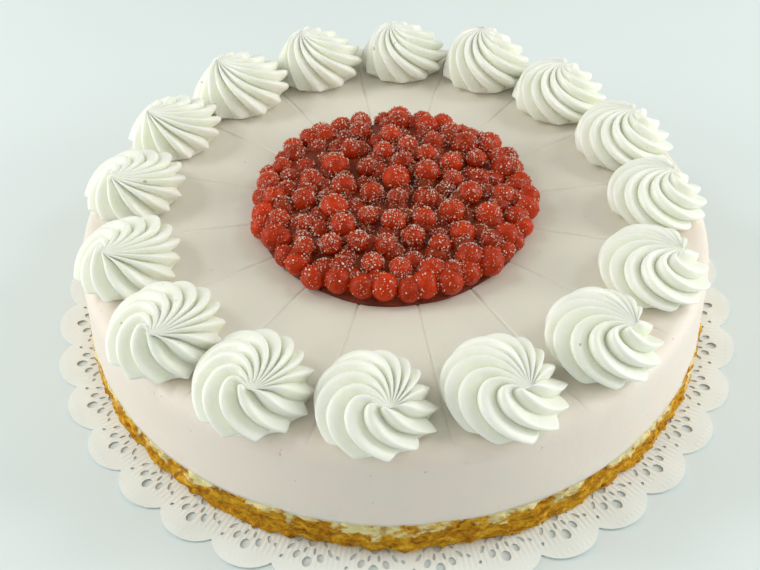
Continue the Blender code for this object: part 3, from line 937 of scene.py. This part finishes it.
def heap_places(rng):
    """Middle, radius and ripeness of each berry, with painted shade in the close layer: outer row,
    close layer, looser ones on top.
    """
    berries = []
    for index in range(EDGE_COUNT):
        stray = rng.uniform(-EDGE_STRAY_ROUND, EDGE_STRAY_ROUND)
        angle = 2.0 * math.pi * (index + stray) / EDGE_COUNT
        radius = rng.uniform(*CURRANT_RADII)
        reach = HEAP_RADIUS - radius + rng.uniform(*EDGE_STRAY_OUT)
        berries.append((reach * math.cos(angle), reach * math.sin(angle),
                        radius + EDGE_STAND_OFF, radius, rng.uniform(*EDGE_RIPENESS)))
    for x, y, radius in crowd(rng, LOWER_COUNT, LOWER_REACH, LOWER_SPACING):
        reach = math.hypot(x, y)
        rim = (reach / LOWER_REACH) ** 4
        sink = rng.uniform(*LOWER_SINK) - LOWER_RIM_RISE * rim
        # The close layer under the others is tinted darker as painted shade, less so at its rim.
        berries.append((x, y, heap_surface(reach) - radius - sink, radius,
                        rng.uniform(*LOWER_SHADED_RIPENESS) + LOWER_RIM_LESS_SHADE * rim))
    for x, y, radius in crowd(rng, UPPER_COUNT, UPPER_REACH, UPPER_SPACING):
        height = heap_surface(math.hypot(x, y)) - radius + rng.uniform(*UPPER_STRAY)
        berries.append((x, y, height, radius, rng.uniform(*UPPER_RIPENESS)))
    return berries


currant_rng = random.Random(11)
berries = heap_places(currant_rng)
currants = bmesh.new()
currants.verts.layers.float.new("berry_tint_and_shade")
berry_mesh = bpy.data.meshes.new("berry")
for x, y, z, radius, ripeness_and_shade in berries:
    berry = bmesh.new()
    berry_tint_and_shade = berry.verts.layers.float.new("berry_tint_and_shade")
    bmesh.ops.create_uvsphere(berry, u_segments=18, v_segments=12, radius=radius)
    squash = currant_rng.uniform(*BERRY_SQUASH)
    for vertex in berry.verts:
        polar = vertex.co.z / radius
        flower_end = math.exp(-((1.0 - polar) / 0.05) ** 2)
        stalk_end = math.exp(-((1.0 + polar) / 0.04) ** 2)
        vertex.co *= 1.0 - FLOWER_DENT * flower_end - STALK_DENT * stalk_end
        vertex.co.z *= squash
        vertex[berry_tint_and_shade] = ripeness_and_shade
    lean = Matrix.Rotation(currant_rng.uniform(0.0, math.pi), 4, "X")
    turn = Matrix.Rotation(currant_rng.uniform(0.0, 2.0 * math.pi), 4, "Z")
    bmesh.ops.transform(berry, matrix=Matrix.Translation((x, y, z + CREAM_TOP)) @ turn @ lean,
                        verts=berry.verts)
    berry.to_mesh(berry_mesh)
    berry.free()
    currants.from_mesh(berry_mesh)
bpy.data.meshes.remove(berry_mesh)
currants_piece = link_piece("currants", currants, currant_skin())
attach(currants_piece, "root")


# ------------------------------------------------------------------ the sugar
# Fine clear sugar strewn over the wet currants by hand: grains of a fifth of a millimetre to
# three quarters that cling to the upper faces, thick in some places and thin in others.

GRAINS_PER_CURRANT = 190
FRONT_EDGE_SHARE = 0.45
NEIGHBOUR_REACH = 0.013

# Sizes of the grains along their first side, what the other two sides are times that, how
# uneven their corners are, and how far down a berry's side they still cling
GRAIN_SIZES = (0.00020, 0.00056)
GRAIN_WIDTHS, GRAIN_HEIGHTS = (0.7, 1.4), (0.6, 1.2)
GRAIN_CORNERS = (0.72, 1.12)
GRAIN_LOWEST_UP = -0.10

# The strewing: widths of its thick patches and of their clumps, and where it leaves gaps
DRIFT_WIDTH, CLUMP_WIDTH = 0.0042, 0.0016
STREWING_GAPS = (-0.45, 0.25)

SUGAR_TONES = ((0.0, (0.48, 0.070, 0.012)), (0.6, (0.62, 0.22, 0.10)),
               (0.88, (0.82, 0.62, 0.50)), (1.0, (0.96, 0.91, 0.85)))
SUGAR_CLOUD = (0.58, 0.16, 0.06), (0.88, 0.70, 0.58)


def sugar_crystal():
    """Clear sugar, pink where the berry shines through and white where a face catches light."""
    material, tree, shader, place = shader_of("sugar_crystal")
    clear = tree.nodes.new("ShaderNodeAttribute")
    clear.attribute_name = "grain_white"
    tone = add_ramp(tree, clear.outputs["Fac"], SUGAR_TONES)
    cloud = add_mottle(tree, place, 700.0, *SUGAR_CLOUD)
    tree.links.new(add_mix(tree, 0.25, tone, cloud), shader.inputs["Base Color"])
    shader.inputs["Roughness"].default_value = 0.16
    shader.inputs["Subsurface Weight"].default_value = 0.3
    shader.inputs["Subsurface Radius"].default_value = (0.001, 0.0006, 0.0005)
    shader.inputs["Subsurface Scale"].default_value = 1.0
    return material


sugar = bmesh.new()
sugar.verts.layers.float.new("grain_white")
sugar_rng = random.Random(23)
pinch_mesh = bpy.data.meshes.new("pinch")
for x, y, z, radius, _ in berries:
    near = [berry for berry in berries
            if math.hypot(berry[0] - x, berry[1] - y) < NEIGHBOUR_REACH]
    pinch = bmesh.new()
    grain_white = pinch.verts.layers.float.new("grain_white")
    share = FRONT_EDGE_SHARE if math.hypot(x, y) > LOWER_REACH and y < 0.0 else 1.0
    for _ in range(round(GRAINS_PER_CURRANT * share)):
        up = sugar_rng.uniform(GRAIN_LOWEST_UP, 1.0)
        angle = sugar_rng.uniform(0.0, 2.0 * math.pi)
        flat = math.sqrt(1.0 - up * up)
        out = Vector((flat * math.cos(angle), flat * math.sin(angle), up))
        spot = Vector((x, y, z)) + out * radius
        hidden = any((spot.x - bx) ** 2 + (spot.y - by) ** 2 + (spot.z - bz) ** 2
                     < (0.98 * other) ** 2 for bx, by, bz, other, _ in near)
        drift = (noise.noise(spot / DRIFT_WIDTH) + 0.5 * noise.noise(spot / CLUMP_WIDTH)
                 + 0.25 * up)
        size = GRAIN_SIZES[0] + (GRAIN_SIZES[1] - GRAIN_SIZES[0]) * sugar_rng.random() ** 1.6
        shape = Matrix.Diagonal((size, size * sugar_rng.uniform(*GRAIN_WIDTHS),
                                 size * sugar_rng.uniform(*GRAIN_HEIGHTS), 1.0))
        tumble = (Matrix.Rotation(sugar_rng.uniform(0.0, 3.1), 4, "X")
                  @ Matrix.Rotation(sugar_rng.uniform(0.0, 3.1), 4, "Y"))
        if hidden or drift < sugar_rng.uniform(*STREWING_GAPS):
            continue
        grain = bmesh.ops.create_cube(pinch, size=1.0)["verts"]
        white = min(1.0, max(0.0, sugar_rng.random() + 0.5 * drift))
        for corner in grain:
            corner[grain_white] = white
            corner.co *= sugar_rng.uniform(*GRAIN_CORNERS)
        lay = Matrix.Translation(spot + out * 0.3 * size + Vector((0.0, 0.0, CREAM_TOP)))
        bmesh.ops.transform(pinch, matrix=lay @ tumble @ shape, verts=grain)
    pinch.to_mesh(pinch_mesh)
    pinch.free()
    sugar.from_mesh(pinch_mesh)
bpy.data.meshes.remove(pinch_mesh)
sugar_piece = link_piece("sugar_grains", sugar, sugar_crystal(), smooth=False)
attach(sugar_piece, "root")


# ----------------------------------------------------- floor, lights and camera
# A pale floor that runs on past the picture, a wide soft light low at either side, a smaller
# one high above each for the short shadows, and the camera at the photograph's angle.

FLOOR_SIZE = 6.0
FLOOR_TONES = (0.76, 0.83, 0.83), (0.80, 0.865, 0.865)
CAMERA_PLACE = Vector((0.0, -0.33601, 0.33743))
CAMERA_AIM = Vector((-0.00651, 0.00626, 0.0011))
CAMERA_ROLL = math.radians(-1.3085)
CAMERA_LENS = 49.6046
CAMERA_SENSOR = 36.0

# Place, size, power and colour of each softbox; all are turned to the middle of the torte
SOFTBOX_AIM = Vector((0.0, 0.0, 0.03))
SOFTBOXES = {
    "left_softbox": ((-1.00, -0.06, 0.38), 0.60, 4.6, (1.0, 0.99, 0.96)),
    "right_softbox": ((1.00, -0.02, 0.38), 0.60, 5.1, (1.0, 0.99, 0.96)),
    "high_left_softbox": ((-0.80, 0.16, 0.90), 0.30, 2.4, (0.98, 1.0, 0.98)),
    "high_right_softbox": ((0.80, 0.16, 0.90), 0.30, 2.0, (0.98, 1.0, 0.98)),
}

floor = bmesh.new()
bmesh.ops.create_grid(floor, x_segments=8, y_segments=8, size=0.5 * FLOOR_SIZE)
floor_paint, floor_tree, floor_shader, floor_place = shader_of("pale_floor")
floor_tone = add_mottle(floor_tree, floor_place, 3.0, *FLOOR_TONES)
floor_tree.links.new(floor_tone, floor_shader.inputs["Base Color"])
floor_shader.inputs["Roughness"].default_value = 0.6
floor_piece = link_piece("floor", floor, floor_paint)

for name, (place, size, power, colour) in SOFTBOXES.items():
    light = bpy.data.lights.new(name, "AREA")
    light.size = size
    light.energy = power
    light.color = colour
    lamp = bpy.data.objects.new(name, light)
    lamp.location = place
    lamp.rotation_euler = (SOFTBOX_AIM - Vector(place)).to_track_quat("-Z", "Y").to_euler()
    bpy.context.scene.collection.objects.link(lamp)

world = bpy.data.worlds.new("studio")
world.use_nodes = True
background = world.node_tree.nodes["Background"]
background.inputs["Color"].default_value = (0.90, 0.93, 0.89, 1.0)
background.inputs["Strength"].default_value = 0.55
bpy.context.scene.world = world

camera = bpy.data.cameras.new("camera")
camera.lens = CAMERA_LENS
camera.sensor_width = CAMERA_SENSOR
camera_holder = bpy.data.objects.new("camera", camera)
bpy.context.scene.collection.objects.link(camera_holder)
look = (CAMERA_AIM - CAMERA_PLACE).to_track_quat("-Z", "Y").to_matrix().to_4x4()
camera_holder.matrix_world = (Matrix.Translation(CAMERA_PLACE) @ look
                              @ Matrix.Rotation(CAMERA_ROLL, 4, "Z"))
bpy.context.scene.camera = camera_holder
bpy.context.scene.view_settings.view_transform = "Standard"
